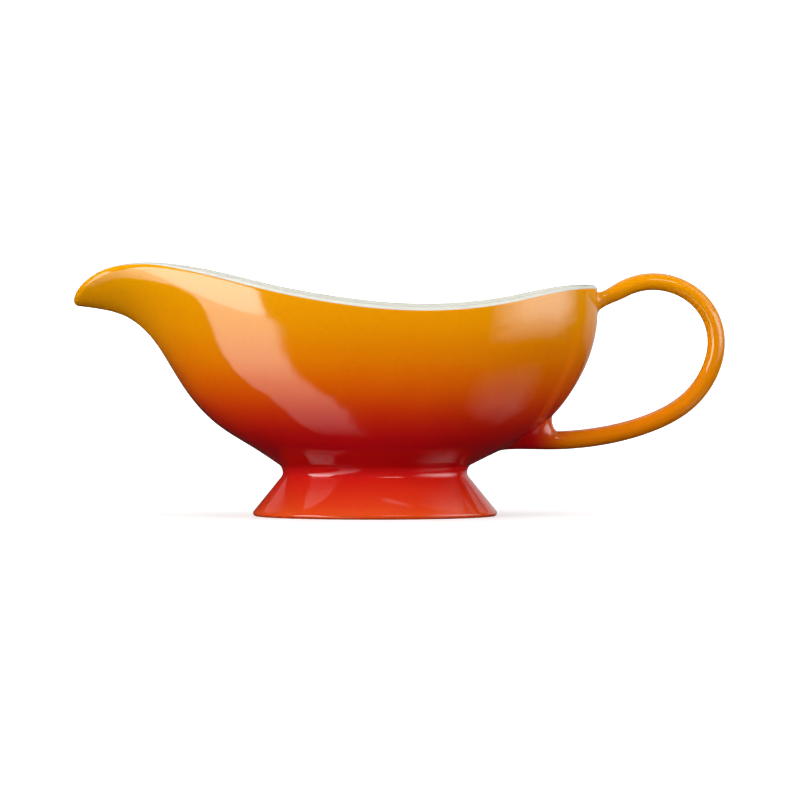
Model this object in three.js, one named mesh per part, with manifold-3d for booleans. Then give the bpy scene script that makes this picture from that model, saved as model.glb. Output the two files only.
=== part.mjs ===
// Footed gravy boat in two-colour glazed stoneware. Millimetres, Z up, spout towards -X,
// handle towards +X. The body is a slip-cast bowl, a hollow oval foot and a pulled handle,
// stuck together with bands of slip and glazed; the bowl is lined with a pale glaze.
import * as THREE from 'three';
import { mergeVertices } from 'three/addons/utils/BufferGeometryUtils.js';
import Module from 'manifold-3d';

const wasm = await Module();
wasm.setup();

// ---------------------------------------------------------------- driving sizes, mm
const BODY_CENTRE_X = -10;          // middle of the oval neck, along the boat
const SEAT_HEIGHT = 20.5;           // table to the flat under the bowl
const NECK_JOINT_HEIGHT = 4.7;      // band of slip between foot and bowl
const BODY_HEIGHT = 78.7;           // flat seat to the highest shoulder of the rim
const FORE_REACH = 118.6;           // neck middle to the tip of the spout
const AFT_REACH = 89;               // neck middle to the rear wall
const HALF_BEAM = 47.3;             // half the greatest breadth
const NECK_HALF_LENGTH = 38.4;
const NECK_HALF_BREADTH = 24.5;
const THROAT_DEPTH = 0.95;          // how much smaller the top of the foot is than the seat
const FOOT_FLARE = 12.7;            // how far the skirt spreads from its top to the table
const FOOT_WALL = 4.4;
const FOOT_EDGE_RADIUS = 1.2;
const FOOT_INNER_CHAMFER = 0.6;
const WALL = 4.2;                   // bowl wall with its coats of glaze
const LINER_COAT = 0.7;             // liner glaze, drawn thicker than a real coat
const FIT_GAP = 0.3;                // clearance between a piece and the one it follows
const FLOOR_THICKNESS = 5;          // seat to the lowest point inside
const GLAZE_LINE_ANGLE = 0.32;      // where the liner ends outside the rim, above its shoulder
const HANDLE_REACH = 47.5;          // rear wall to the far side of the loop
const ROD_RADIUS = 3.5;             // handle rod, in the plane of the loop
const ROD_BREADTH_RATIO = 1.14;     // handle rod across the loop, against its radius
const ROD_SWELL = 0.05;             // the rod is thicker at its far side than at the top
const UPPER_FLARE = 2.6;            // slip filleted round the upper root
const UPPER_FLARE_LENGTH = 5.5;
const LOWER_FLARE = 7;              // slip filleted over the lower root
const LOWER_FLARE_LENGTH = 15;
const ROOT_DEPTH = 4;               // how far the uncut joints run inside the wall

// ---------------------------------------------------------------- shape of the bowl
// Shoulder of the rim from the rear round to the tip of the spout: distance from the neck
// middle against the reach, breadth against the half beam, height against the body height.
const RIM_SHAPE = [
  [1, 0, 0.888], [0.964, 0.264, 0.889], [0.876, 0.503, 0.882], [0.764, 0.681, 0.86],
  [0.584, 0.863, 0.818], [0.393, 0.964, 0.792], [0.202, 1, 0.785], [0, 0.992, 0.797],
  [-0.169, 0.939, 0.83], [-0.337, 0.85, 0.878], [-0.489, 0.719, 0.934], [-0.582, 0.609, 0.967],
  [-0.658, 0.503, 0.987], [-0.734, 0.406, 1], [-0.818, 0.332, 0.997], [-0.898, 0.281, 0.968],
  [-0.949, 0.23, 0.922], [-0.985, 0.161, 0.865], [-0.998, 0.076, 0.82], [-1, 0, 0.806],
];
// Upright profiles from the neck (0, 0) to the rim (1, 1): run outwards, then rise.
const FORE_PROFILE = [
  [0, 0], [0.127, 0.109], [0.307, 0.257], [0.446, 0.44], [0.551, 0.648],
  [0.641, 0.815], [0.768, 0.942], [0.887, 0.983], [1, 1],
];
const SIDE_PROFILE = [
  [0, 0], [0.307, 0.073], [0.592, 0.202], [0.794, 0.38], [0.908, 0.574],
  [0.969, 0.769], [0.996, 0.898], [1, 1],
];
const AFT_PROFILE = [
  [0, 0], [0.229, 0.082], [0.466, 0.173], [0.672, 0.302], [0.842, 0.474],
  [0.96, 0.671], [1.002, 0.851], [1, 1],
];
const FORE_BLEND_START = 0.38;      // share of the half ring where the spout profile begins
const FORE_BLEND_POWER = 1.25;
const AFT_BLEND_END = 0.5;          // share of the half ring where the rear profile ends
// Below the rim the spout fades into a plain oval of the same reach and beam.
const OVAL_START = 0.3;             // share of the half ring where the oval begins to count
const OVAL_FULL = 0.7;              // share of the half ring from which it counts in full
const SPOUT_POWER = 2.7;            // how fast the spout's own outline takes over near the rim
// Handle line: share of the way from the rear wall to the far side, share of the body height.
const HANDLE_UPPER = [
  [0.061, 0.842], [0.229, 0.907], [0.423, 0.93], [0.608, 0.92],
  [0.798, 0.865], [0.945, 0.761], [1, 0.635],
];
const HANDLE_LOWER = [
  [0.965, 0.471], [0.853, 0.321], [0.683, 0.221], [0.461, 0.155], [0.234, 0.126],
];
const UPPER_ROOT_HEIGHT = 0.825;
const LOWER_ROOT_HEIGHT = 0.124;

// ---------------------------------------------------------------- fineness of the meshes
const RING_POINTS = 72;
const TIP_CROWDING = 0.3;           // ring points stand closer together towards the spout
const WALL_ROWS = 13;
const INNER_ROWS = 10;
const FLOOR_ROWS = 5;
const RIM_ROWS = 6;
const ROD_POINTS = 18;
const ROD_STATIONS = 38;
const JOINT_STATIONS = 7;
const SMALL = 1e-3;

// ---------------------------------------------------------------- curves
// Natural cubic through the given values at rising knots; returns position at a parameter.
function naturalCubic(knots, values) {
  const last = knots.length - 1;
  const axes = values[0].length;
  const bends = values.map(() => new Array(axes).fill(0));
  for (let axis = 0; axis < axes; axis += 1) {
    const scale = new Array(last + 1).fill(0);
    const share = new Array(last + 1).fill(0);
    for (let i = 1; i < last; i += 1) {
      const before = knots[i] - knots[i - 1];
      const after = knots[i + 1] - knots[i];
      const pivot = 2 * (before + after) - before * scale[i - 1];
      const rise = (values[i + 1][axis] - values[i][axis]) / after;
      const fall = (values[i][axis] - values[i - 1][axis]) / before;
      scale[i] = after / pivot;
      share[i] = (6 * (rise - fall) - before * share[i - 1]) / pivot;
    }
    for (let i = last - 1; i > 0; i -= 1) {
      bends[i][axis] = share[i] - scale[i] * bends[i + 1][axis];
    }
  }
  return (at) => {
    let i = 0;
    while (i < last - 1 && knots[i + 1] < at) {
      i += 1;
    }
    const span = knots[i + 1] - knots[i];
    const near = (knots[i + 1] - at) / span;
    const far = 1 - near;
    const nearBend = (near ** 3 - near) * span * span / 6;
    const farBend = (far ** 3 - far) * span * span / 6;
    return values[i].map((start, axis) => near * start + far * values[i + 1][axis]
      + nearBend * bends[i][axis] + farBend * bends[i + 1][axis]);
  };
}

// Distances along a row of points, the first at zero.
function distances(points) {
  const result = [0];
  for (let i = 1; i < points.length; i += 1) {
    const step = Math.hypot(...points[i].map((value, axis) => value - points[i - 1][axis]));
    result.push(result[i - 1] + step);
  }
  return result;
}

function smoothStep(value) {
  const x = Math.min(1, Math.max(0, value));
  return x * x * (3 - 2 * x);
}

function mix(from, to, share) {
  return from + (to - from) * share;
}

// ---------------------------------------------------------------- bowl surface
const halfRim = RIM_SHAPE.map(([along, across, up]) => [
  BODY_CENTRE_X + along * (along < 0 ? FORE_REACH : AFT_REACH),
  across * HALF_BEAM,
  SEAT_HEIGHT + up * BODY_HEIGHT,
]);
const otherHalf = halfRim.slice(0, -1).reverse().map(([x, y, z]) => [x, -y, z]);
const wholeRim = halfRim.concat(otherHalf);
const OVERRUN = 4;                  // points repeated past the seam so the curve closes smoothly
const paddedRim = [
  ...wholeRim.slice(-1 - OVERRUN, -1), ...wholeRim, ...wholeRim.slice(1, 1 + OVERRUN),
];
const paddedDistance = distances(paddedRim);
const rimStart = paddedDistance[OVERRUN];
const rimLength = paddedDistance[paddedDistance.length - 1 - OVERRUN] - rimStart;
const rimCurve = naturalCubic(paddedDistance.map((d) => (d - rimStart) / rimLength), paddedRim);

function profileCurve(shape, run, rise) {
  const way = distances(shape.map(([out, up]) => [out * run, up * rise]));
  const total = way[way.length - 1];
  return naturalCubic(way.map((d) => d / total), shape);
}
const tipRise = RIM_SHAPE[RIM_SHAPE.length - 1][2] * BODY_HEIGHT;
const rearRise = RIM_SHAPE[0][2] * BODY_HEIGHT;
const sideRise = Math.min(...RIM_SHAPE.map(([, , up]) => up)) * BODY_HEIGHT;
const foreProfile = profileCurve(FORE_PROFILE, FORE_REACH - NECK_HALF_LENGTH, tipRise);
const sideProfile = profileCurve(SIDE_PROFILE, HALF_BEAM - NECK_HALF_BREADTH, sideRise);
const aftProfile = profileCurve(AFT_PROFILE, AFT_REACH - NECK_HALF_LENGTH, rearRise);
const ovalRise = (sideRise + tipRise) / 2;

// Point of the outer surface: turn 0 rear, 0.5 spout tip, 1 rear again; climb 0 neck, 1 rim.
function hullPoint(turn, climb) {
  const round = turn - Math.floor(turn);
  const halfTurn = 2 * Math.min(round, 1 - round);
  const foreShare = smoothStep((halfTurn - FORE_BLEND_START) / (1 - FORE_BLEND_START))
    ** FORE_BLEND_POWER;
  const aftShare = smoothStep(1 - halfTurn / AFT_BLEND_END);
  const fore = foreProfile(climb);
  const side = sideProfile(climb);
  const aft = aftProfile(climb);
  const [out, up] = side.map((value, i) => value
    + foreShare * (fore[i] - value) + aftShare * (aft[i] - value));
  const cosine = Math.cos(2 * Math.PI * round);
  const sine = Math.sin(2 * Math.PI * round);
  const oval = [
    BODY_CENTRE_X + cosine * (cosine < 0 ? FORE_REACH : AFT_REACH),
    sine * HALF_BEAM,
    SEAT_HEIGHT + ovalRise,
  ];
  const ovalShare = (1 - climb ** SPOUT_POWER)
    * smoothStep((halfTurn - OVAL_START) / (OVAL_FULL - OVAL_START));
  const [x, y, z] = rimCurve(round).map((value, i) => mix(value, oval[i], ovalShare));
  return new THREE.Vector3(
    mix(BODY_CENTRE_X + NECK_HALF_LENGTH * cosine, x, out),
    mix(NECK_HALF_BREADTH * sine, y, out),
    mix(SEAT_HEIGHT, z, up),
  );
}

// Directions on the outer surface: round the ring, up the wall, and out of the clay.
function hullFrame(turn, climb) {
  const low = Math.max(0, climb - SMALL);
  const high = Math.min(1, climb + SMALL);
  const round = hullPoint(turn + SMALL, climb).sub(hullPoint(turn - SMALL, climb)).normalize();
  const rise = hullPoint(turn, high).sub(hullPoint(turn, low)).normalize();
  const out = new THREE.Vector3().crossVectors(round, rise).normalize();
  const up = new THREE.Vector3().crossVectors(out, round).normalize();
  return { rise, out, up };
}

// Surface lying a given depth inside the outer one.
function insetPoint(turn, climb, depth) {
  return hullPoint(turn, climb).addScaledVector(hullFrame(turn, climb).out, -depth);
}

// Rounded rim: the angle runs from the outer shoulder over the top to the inner shoulder.
function rimPoint(turn, angle, radius) {
  const { out, up } = hullFrame(turn, 1);
  return insetPoint(turn, 1, WALL / 2)
    .addScaledVector(out, radius * Math.cos(angle))
    .addScaledVector(up, radius * Math.sin(angle));
}

// Inside floor: a cubic from the inset wall to the lowest point, level when it gets there.
const FLOOR_CLIMB = 0.24;
function floorPoint(turn, share, depth) {
  const start = insetPoint(turn, FLOOR_CLIMB, depth);
  const end = new THREE.Vector3(
    BODY_CENTRE_X, 0, SEAT_HEIGHT + FLOOR_THICKNESS - (WALL - depth),
  );
  const reach = Math.hypot(end.x - start.x, end.y - start.y);
  const leave = hullFrame(turn, FLOOR_CLIMB).rise.multiplyScalar(-reach);
  const arrive = new THREE.Vector3(end.x - start.x, end.y - start.y, 0);
  const s2 = share * share;
  const s3 = s2 * share;
  return new THREE.Vector3()
    .addScaledVector(start, 2 * s3 - 3 * s2 + 1)
    .addScaledVector(leave, s3 - 2 * s2 + share)
    .addScaledVector(end, 3 * s2 - 2 * s3)
    .addScaledVector(arrive, s3 - s2);
}

// ---------------------------------------------------------------- closed meshes from rings
function turns() {
  return Array.from({ length: RING_POINTS }, (_, i) => {
    const even = i / RING_POINTS;
    return even + TIP_CROWDING * Math.sin(2 * Math.PI * even) / (2 * Math.PI);
  });
}

function spread(count, from, to) {
  return Array.from({ length: count }, (_, i) => mix(from, to, i / (count - 1)));
}

// Rings joined in order; the ends close on poles, or on each other when there are none.
function ringBody(rings, poles) {
  const points = rings.flat();
  const width = rings[0].length;
  const faces = [];
  const joins = poles ? rings.length - 1 : rings.length;
  for (let row = 0; row < joins; row += 1) {
    const next = (row + 1) % rings.length;
    for (let i = 0; i < width; i += 1) {
      const j = (i + 1) % width;
      const a = row * width + i;
      const b = row * width + j;
      const c = next * width + j;
      const d = next * width + i;
      const straight = points[a].distanceTo(points[c]) <= points[b].distanceTo(points[d]);
      faces.push(...(straight ? [a, b, c, a, c, d] : [a, b, d, b, c, d]));
    }
  }
  if (poles) {
    const [first, last] = poles;
    const base = (rings.length - 1) * width;
    points.push(first, last);
    for (let i = 0; i < width; i += 1) {
      const j = (i + 1) % width;
      faces.push(points.length - 2, j, i);
      faces.push(points.length - 1, base + i, base + j);
    }
  }
  return outward(points, faces);
}

// Geometry with its faces turned outwards.
function outward(points, faces) {
  let volume = 0;
  for (let i = 0; i < faces.length; i += 3) {
    const [a, b, c] = faces.slice(i, i + 3).map((index) => points[index]);
    volume += a.dot(new THREE.Vector3().crossVectors(b, c));
  }
  const order = volume < 0 ? faces.slice().reverse() : faces;
  const geometry = new THREE.BufferGeometry();
  const flat = points.flatMap((point) => point.toArray());
  geometry.setAttribute('position', new THREE.Float32BufferAttribute(flat, 3));
  geometry.setIndex(order);
  return geometry;
}

function centreOf(ring) {
  const sum = ring.reduce((total, point) => total.add(point), new THREE.Vector3());
  return sum.divideScalar(ring.length);
}

function toManifold(geometry) {
  const merged = mergeVertices(geometry, SMALL);
  return new wasm.Manifold(new wasm.Mesh({
    numProp: 3,
    vertProperties: new Float32Array(merged.attributes.position.array),
    triVerts: new Uint32Array(merged.index.array),
  }));
}

function fromManifold(solid) {
  const { vertProperties, triVerts } = solid.getMesh();
  const geometry = new THREE.BufferGeometry();
  geometry.setAttribute('position', new THREE.BufferAttribute(vertProperties, 3));
  geometry.setIndex(new THREE.BufferAttribute(triVerts, 1));
  return geometry;
}

// ---------------------------------------------------------------- bowl and its liner
const ringTurns = turns();
const ringOf = (point) => ringTurns.map(point);
const climbs = spread(WALL_ROWS, 0, 1);
const innerClimbs = spread(INNER_ROWS, 1, FLOOR_CLIMB);
const floorShares = spread(FLOOR_ROWS + 1, 0, 1).slice(1, -1);
const rimRadius = WALL / 2;
const clayDepth = WALL - LINER_COAT - FIT_GAP;
const linerBackDepth = WALL - LINER_COAT;
const linerEdgeAngle = GLAZE_LINE_ANGLE + FIT_GAP / rimRadius;

function insideRings(depth) {
  const walls = innerClimbs.slice(1).map((climb) => ringOf((t) => insetPoint(t, climb, depth)));
  const floors = floorShares.map((share) => ringOf((t) => floorPoint(t, share, depth)));
  return [...walls, ...floors];
}

function rimRings(fromAngle, radius) {
  return spread(RIM_ROWS, fromAngle, Math.PI)
    .map((angle) => ringOf((t) => rimPoint(t, angle, radius)));
}

function bowlGeometry() {
  const rings = [
    ...climbs.map((climb) => ringOf((t) => hullPoint(t, climb))),
    ringOf((t) => rimPoint(t, GLAZE_LINE_ANGLE, rimRadius)),
    ...rimRings(GLAZE_LINE_ANGLE, clayDepth - rimRadius),
    ...insideRings(clayDepth),
  ];
  return ringBody(rings, [
    new THREE.Vector3(BODY_CENTRE_X, 0, SEAT_HEIGHT),
    floorPoint(0, 1, clayDepth),
  ]);
}

function linerGeometry() {
  const back = [...rimRings(linerEdgeAngle, linerBackDepth - rimRadius), ...insideRings(linerBackDepth)];
  const front = [...rimRings(linerEdgeAngle, rimRadius), ...insideRings(WALL)];
  return ringBody([...back.reverse(), ...front], [
    floorPoint(0, 1, linerBackDepth),
    floorPoint(0, 1, WALL),
  ]);
}

// Whole bowl as a filled block, grown by the fit gap: what the handle joints are cut by.
function grownBowl() {
  const rings = [
    ...climbs.map((climb) => ringOf((t) => insetPoint(t, climb, -FIT_GAP))),
    ...spread(RIM_ROWS, 0, Math.PI / 2).slice(1)
      .map((angle) => ringOf((t) => rimPoint(t, angle, rimRadius + FIT_GAP))),
  ];
  return toManifold(ringBody(rings, [
    new THREE.Vector3(BODY_CENTRE_X, 0, SEAT_HEIGHT - FIT_GAP),
    new THREE.Vector3(BODY_CENTRE_X, 0, SEAT_HEIGHT + sideRise),
  ]));
}

// ---------------------------------------------------------------- foot and neck joint
const footTop = SEAT_HEIGHT - NECK_JOINT_HEIGHT;
const skirtLean = Math.atan2(footTop, FOOT_FLARE);
const footWallLevel = FOOT_WALL / Math.sin(skirtLean);

// Oval at a height, grown outwards from the top of the foot.
function footRing(growth, height) {
  return ringOf((turn) => new THREE.Vector3(
    BODY_CENTRE_X + (NECK_HALF_LENGTH - THROAT_DEPTH + growth) * Math.cos(2 * Math.PI * turn),
    (NECK_HALF_BREADTH - THROAT_DEPTH + growth) * Math.sin(2 * Math.PI * turn),
    height,
  ));
}

function footGeometry() {
  const skirtGrowth = (height) => FOOT_FLARE * (1 - height / footTop);
  const edgeCentre = FOOT_FLARE - FOOT_EDGE_RADIUS / Math.tan(skirtLean / 2);
  const edgeAngles = spread(5, Math.PI / 2 - skirtLean, -Math.PI / 2);
  const edge = edgeAngles.map((angle) => footRing(
    edgeCentre + FOOT_EDGE_RADIUS * Math.cos(angle),
    FOOT_EDGE_RADIUS + FOOT_EDGE_RADIUS * Math.sin(angle),
  ));
  const innerGrowth = (height) => skirtGrowth(height) - footWallLevel;
  return ringBody([
    footRing(0, footTop),
    footRing(skirtGrowth(footTop / 2), footTop / 2),
    ...edge,
    footRing(innerGrowth(0) + FOOT_INNER_CHAMFER, 0),
    footRing(innerGrowth(FOOT_INNER_CHAMFER), FOOT_INNER_CHAMFER),
    footRing(innerGrowth(footTop / 2), footTop / 2),
    footRing(innerGrowth(footTop), footTop),
  ]);
}

// Band of slip: its outer face curves from the lean of the skirt to the lean of the bowl.
function neckJointGeometry() {
  const skirtStep = NECK_JOINT_HEIGHT / Math.tan(skirtLean);
  const outer = spread(7, 0, 1).map((share) => {
    const s2 = share * share;
    const s3 = s2 * share;
    const bottom = footRing(0, footTop);
    return bottom.map((start, i) => {
      const turn = ringTurns[i];
      const end = hullPoint(turn, 0);
      const { rise } = hullFrame(turn, 0);
      const inward = footRing(-skirtStep, SEAT_HEIGHT)[i].sub(start);
      const leave = inward.setLength(NECK_JOINT_HEIGHT);
      return new THREE.Vector3()
        .addScaledVector(start, 2 * s3 - 3 * s2 + 1)
        .addScaledVector(leave, s3 - 2 * s2 + share)
        .addScaledVector(end, 3 * s2 - 2 * s3)
        .addScaledVector(rise, NECK_JOINT_HEIGHT * (s3 - s2));
    });
  });
  return ringBody([
    ...outer,
    footRing(THROAT_DEPTH - footWallLevel - FOOT_WALL / 2, SEAT_HEIGHT),
    footRing(-footWallLevel - FOOT_WALL / 4, mix(footTop, SEAT_HEIGHT, 0.6)),
    footRing(-footWallLevel, footTop),
  ]);
}

// ---------------------------------------------------------------- handle and its joints
// Rear wall of the bowl, in the middle plane, at a share of the body height.
function sternX(heightShare) {
  const target = SEAT_HEIGHT + heightShare * BODY_HEIGHT;
  let low = 0;
  let high = 1;
  while (high - low > SMALL) {
    const middle = (low + high) / 2;
    if (hullPoint(0, middle).z < target) {
      low = middle;
    } else {
      high = middle;
    }
  }
  return hullPoint(0, low).x;
}

const handleFarX = BODY_CENTRE_X + AFT_REACH + HANDLE_REACH;
const upperWallX = sternX(UPPER_ROOT_HEIGHT);
const lowerWallX = sternX(LOWER_ROOT_HEIGHT);
const heightAt = (share) => SEAT_HEIGHT + share * BODY_HEIGHT;
const handlePoints = [
  [upperWallX, heightAt(UPPER_ROOT_HEIGHT)],
  ...HANDLE_UPPER.map(([out, up]) => [mix(upperWallX, handleFarX, out), heightAt(up)]),
  ...HANDLE_LOWER.map(([out, up]) => [mix(lowerWallX, handleFarX, out), heightAt(up)]),
  [lowerWallX, heightAt(LOWER_ROOT_HEIGHT)],
];
const handleDistance = distances(handlePoints);
const handleLength = handleDistance[handleDistance.length - 1];
const handleCurve = naturalCubic(handleDistance, handlePoints);
const rodFrom = UPPER_FLARE_LENGTH;
const rodTo = handleLength - LOWER_FLARE_LENGTH;

// Ring of the handle at a distance along it; the flares fatten it inside and outside the loop.
function handleRing(distance, outerFlare, innerFlare) {
  const along = Math.min(handleLength, Math.max(0, distance));
  const [x, z] = handleCurve(along);
  const before = handleCurve(Math.max(0, along - SMALL));
  const after = handleCurve(Math.min(handleLength, along + SMALL));
  const ahead = new THREE.Vector3(after[0] - before[0], 0, after[1] - before[1]).normalize();
  const outside = new THREE.Vector3(-ahead.z, 0, ahead.x);
  const centre = new THREE.Vector3(x, 0, z).addScaledVector(ahead, distance - along);
  const radius = ROD_RADIUS * (1 + ROD_SWELL * Math.sin(Math.PI * (along / handleLength) - 1));
  const halfBreadth = radius * ROD_BREADTH_RATIO + (outerFlare + innerFlare) / 2;
  return Array.from({ length: ROD_POINTS }, (_, i) => {
    const angle = 2 * Math.PI * i / ROD_POINTS;
    const lift = Math.cos(angle) * (radius + (Math.cos(angle) > 0 ? outerFlare : innerFlare));
    const point = centre.clone().addScaledVector(outside, lift);
    point.y = halfBreadth * Math.sin(angle);
    return point;
  });
}

function sweptBody(rings) {
  return ringBody(rings, [centreOf(rings[0]), centreOf(rings[rings.length - 1])]);
}

function rodGeometry() {
  return sweptBody(spread(ROD_STATIONS, rodFrom, rodTo).map((d) => handleRing(d, 0, 0)));
}

function jointGeometry(bowl, from, to, flareAt) {
  const rings = spread(JOINT_STATIONS, from, to).map((d) => handleRing(d, ...flareAt(d)));
  return fromManifold(toManifold(sweptBody(rings)).subtract(bowl));
}

function upperFlareAt(distance) {
  const near = Math.min(1, (rodFrom - distance) / UPPER_FLARE_LENGTH);
  return [UPPER_FLARE * near * near, UPPER_FLARE * near * near];
}

function lowerFlareAt(distance) {
  const near = Math.min(1, (distance - rodTo) / LOWER_FLARE_LENGTH);
  return [0, LOWER_FLARE * near * near];
}

// ---------------------------------------------------------------- assembly
const group = new THREE.Group();
function addPiece(name, geometry, colour, roughness) {
  const merged = mergeVertices(geometry, SMALL);
  merged.computeVertexNormals();
  const material = new THREE.MeshStandardMaterial({ color: colour, roughness, metalness: 0 });
  const mesh = new THREE.Mesh(merged, material);
  mesh.name = name;
  group.add(mesh);
}

const ORANGE = '#e08a10';
const RED = '#c8261a';
const CREAM = '#ece8de';
const grown = grownBowl();
addPiece('bowl', bowlGeometry(), ORANGE, 0.15);
addPiece('bowl_liner', linerGeometry(), CREAM, 0.15);
addPiece('foot', footGeometry(), RED, 0.15);
addPiece('neck_slip_joint', neckJointGeometry(), RED, 0.15);
addPiece('handle', rodGeometry(), ORANGE, 0.15);
addPiece(
  'handle_upper_slip_joint',
  jointGeometry(grown, -ROOT_DEPTH, rodFrom, upperFlareAt),
  ORANGE,
  0.15,
);
addPiece(
  'handle_lower_slip_joint',
  jointGeometry(grown, rodTo, handleLength + ROOT_DEPTH, lowerFlareAt),
  ORANGE,
  0.15,
);

export default group;
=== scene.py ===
# %% [markdown]
# # A footed gravy boat in two-colour glazed stoneware
# The boat is a slip-cast bowl on a hollow oval foot, with a thin rod bent round for a handle.
# The potter sticks the three parts together with slip, smooths the joins, sprays a glaze
# that fades from deep red below to orange above, lines the bowl with an off-white glaze and
# fires it once. This script loads the measured model as a fixed frame, then builds each
# piece again as a fine smooth surface in the same place.

# %% Load the frame
import math

import bpy
import numpy as np
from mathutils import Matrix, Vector


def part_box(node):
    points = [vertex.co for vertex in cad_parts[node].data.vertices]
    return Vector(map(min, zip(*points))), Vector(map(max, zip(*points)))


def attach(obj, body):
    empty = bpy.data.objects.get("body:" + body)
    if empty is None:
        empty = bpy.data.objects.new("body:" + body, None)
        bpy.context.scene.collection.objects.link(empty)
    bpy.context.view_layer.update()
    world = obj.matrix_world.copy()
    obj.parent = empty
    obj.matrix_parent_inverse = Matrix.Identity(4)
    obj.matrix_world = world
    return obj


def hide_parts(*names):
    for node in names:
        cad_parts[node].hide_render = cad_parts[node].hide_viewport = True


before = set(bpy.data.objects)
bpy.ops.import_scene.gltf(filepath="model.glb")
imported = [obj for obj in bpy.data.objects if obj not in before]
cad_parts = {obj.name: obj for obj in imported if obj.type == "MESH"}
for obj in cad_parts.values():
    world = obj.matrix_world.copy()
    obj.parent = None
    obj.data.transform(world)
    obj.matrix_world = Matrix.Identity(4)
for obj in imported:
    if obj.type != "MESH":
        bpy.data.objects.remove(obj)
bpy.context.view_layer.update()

MM = 0.001

# %% [markdown]
# ## Sizes
# These are the potter's sizes, in millimetres. The places come from the frame: the neck's
# middle and length and the height of the seat under the bowl are read from the boxes of the
# nodes, so the fine pieces sit on the measured ones. The handle's box is printed beside the
# rod's.

# %% Sizes of the bowl, foot and handle
neck_low, neck_high = [np.array(corner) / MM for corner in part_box("neck_slip_joint")]
rod_low, rod_high = [np.array(corner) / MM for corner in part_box("handle")]
CENTRE_X = (neck_low[0] + neck_high[0]) / 2
FOOT_TOP = neck_low[2]
SEAT = neck_high[2]
NECK_LENGTH = (neck_high[0] - neck_low[0]) / 2
NECK_BREADTH = 24.5
BODY_HEIGHT = 78.7
FORE_REACH = 118.6
AFT_REACH = 89.0
HALF_BEAM = 47.3
THROAT = 0.95
FOOT_FLARE = 12.7
FOOT_WALL = 4.4
FOOT_EDGE = 1.2
WALL = 4.2
COAT = 0.7
GAP = 0.3
FLOOR_THICKNESS = 5.0
GLAZE_LINE = 0.32
NECK_HEIGHT = SEAT - FOOT_TOP
print("neck centre", round(CENTRE_X, 2), "seat", round(SEAT, 2))
print("neck half length", round(NECK_LENGTH, 2))

# %% [markdown]
# ## A smooth curve through a few chosen points
# A potter's template is a bent spline: a thin strip of wood held at a few points takes the
# smoothest line through them. The natural cubic is its formula. A Bezier curve would need
# handles set by eye, so the cubic is the simpler way to get a fair line from few points.

# %% Natural cubic
def fair_curve(knots, values):
    """Cubic pieces through the values with continuous bending, and none at the two ends."""
    knots = np.asarray(knots, float)
    values = np.asarray(values, float)
    count = len(knots)
    gaps = np.diff(knots)
    system = np.eye(count)
    right = np.zeros_like(values)
    inner = np.arange(1, count - 1)
    system[inner, inner - 1] = gaps[:-1]
    system[inner, inner] = 2 * (gaps[:-1] + gaps[1:])
    system[inner, inner + 1] = gaps[1:]
    slopes = np.diff(values, axis=0) / gaps[:, None]
    right[1:-1] = 6 * np.diff(slopes, axis=0)
    bend = np.linalg.solve(system, right)

    def at(where):
        where = np.asarray(where, float)
        i = np.clip(np.searchsorted(knots, where, side="right") - 1, 0, count - 2)
        gap = gaps[i][..., None]
        near = ((knots[i + 1] - where) / gaps[i])[..., None]
        far = 1 - near
        curve = (near**3 - near) * bend[i] + (far**3 - far) * bend[i + 1]
        return near * values[i] + far * values[i + 1] + curve * gap**2 / 6

    return at


def way_along(points):
    """Distance along a row of points, from 0 at the first."""
    steps = np.linalg.norm(np.diff(np.asarray(points, float), axis=0), axis=1)
    return np.concatenate([[0.0], np.cumsum(steps)])


def smooth_step(value):
    """0 below 0, 1 above 1, with level ends: 3 x squared less 2 x cubed."""
    x = np.clip(value, 0, 1)
    return x * x * (3 - 2 * x)


# %% [markdown]
# ## The outline of the rim and the profiles of the wall
# The rim is one closed curve that dips amidships, climbs towards the spout and drops at its
# lip. Three upright profiles shape the wall: full at the rear, full at the side, and a long
# hollow curve under the spout. Each is a handful of shares of the reach and the height.

# %% Rim and profile points
RIM = np.array([
    [1, 0, 0.888], [0.964, 0.264, 0.889], [0.876, 0.503, 0.882], [0.764, 0.681, 0.86],
    [0.584, 0.863, 0.818], [0.393, 0.964, 0.792], [0.202, 1, 0.785], [0, 0.992, 0.797],
    [-0.169, 0.939, 0.83], [-0.337, 0.85, 0.878], [-0.489, 0.719, 0.934], [-0.582, 0.609, 0.967],
    [-0.658, 0.503, 0.987], [-0.734, 0.406, 1], [-0.818, 0.332, 0.997], [-0.898, 0.281, 0.968],
    [-0.949, 0.23, 0.922], [-0.985, 0.161, 0.865], [-0.998, 0.076, 0.82], [-1, 0, 0.806],
])
FORE = [[0, 0], [0.127, 0.109], [0.307, 0.257], [0.446, 0.44], [0.551, 0.648], [0.641, 0.815],
        [0.768, 0.942], [0.887, 0.983], [1, 1]]
SIDE = [[0, 0], [0.307, 0.073], [0.592, 0.202], [0.794, 0.38], [0.908, 0.574], [0.969, 0.769],
        [0.996, 0.898], [1, 1]]
AFT = [[0, 0], [0.229, 0.082], [0.466, 0.173], [0.672, 0.302], [0.842, 0.474], [0.96, 0.671],
       [1.002, 0.851], [1, 1]]

half_rim = np.stack([
    CENTRE_X + RIM[:, 0] * np.where(RIM[:, 0] < 0, FORE_REACH, AFT_REACH),
    RIM[:, 1] * HALF_BEAM,
    SEAT + RIM[:, 2] * BODY_HEIGHT,
], axis=1)
whole_rim = np.vstack([half_rim, half_rim[-2::-1] * [1, -1, 1]])
OVERRUN = 4
padded_rim = np.vstack([whole_rim[-1 - OVERRUN:-1], whole_rim, whole_rim[1:1 + OVERRUN]])
rim_way = way_along(padded_rim)
rim_way = (rim_way - rim_way[OVERRUN]) / (rim_way[-1 - OVERRUN] - rim_way[OVERRUN])
rim_curve = fair_curve(rim_way, padded_rim)


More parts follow.
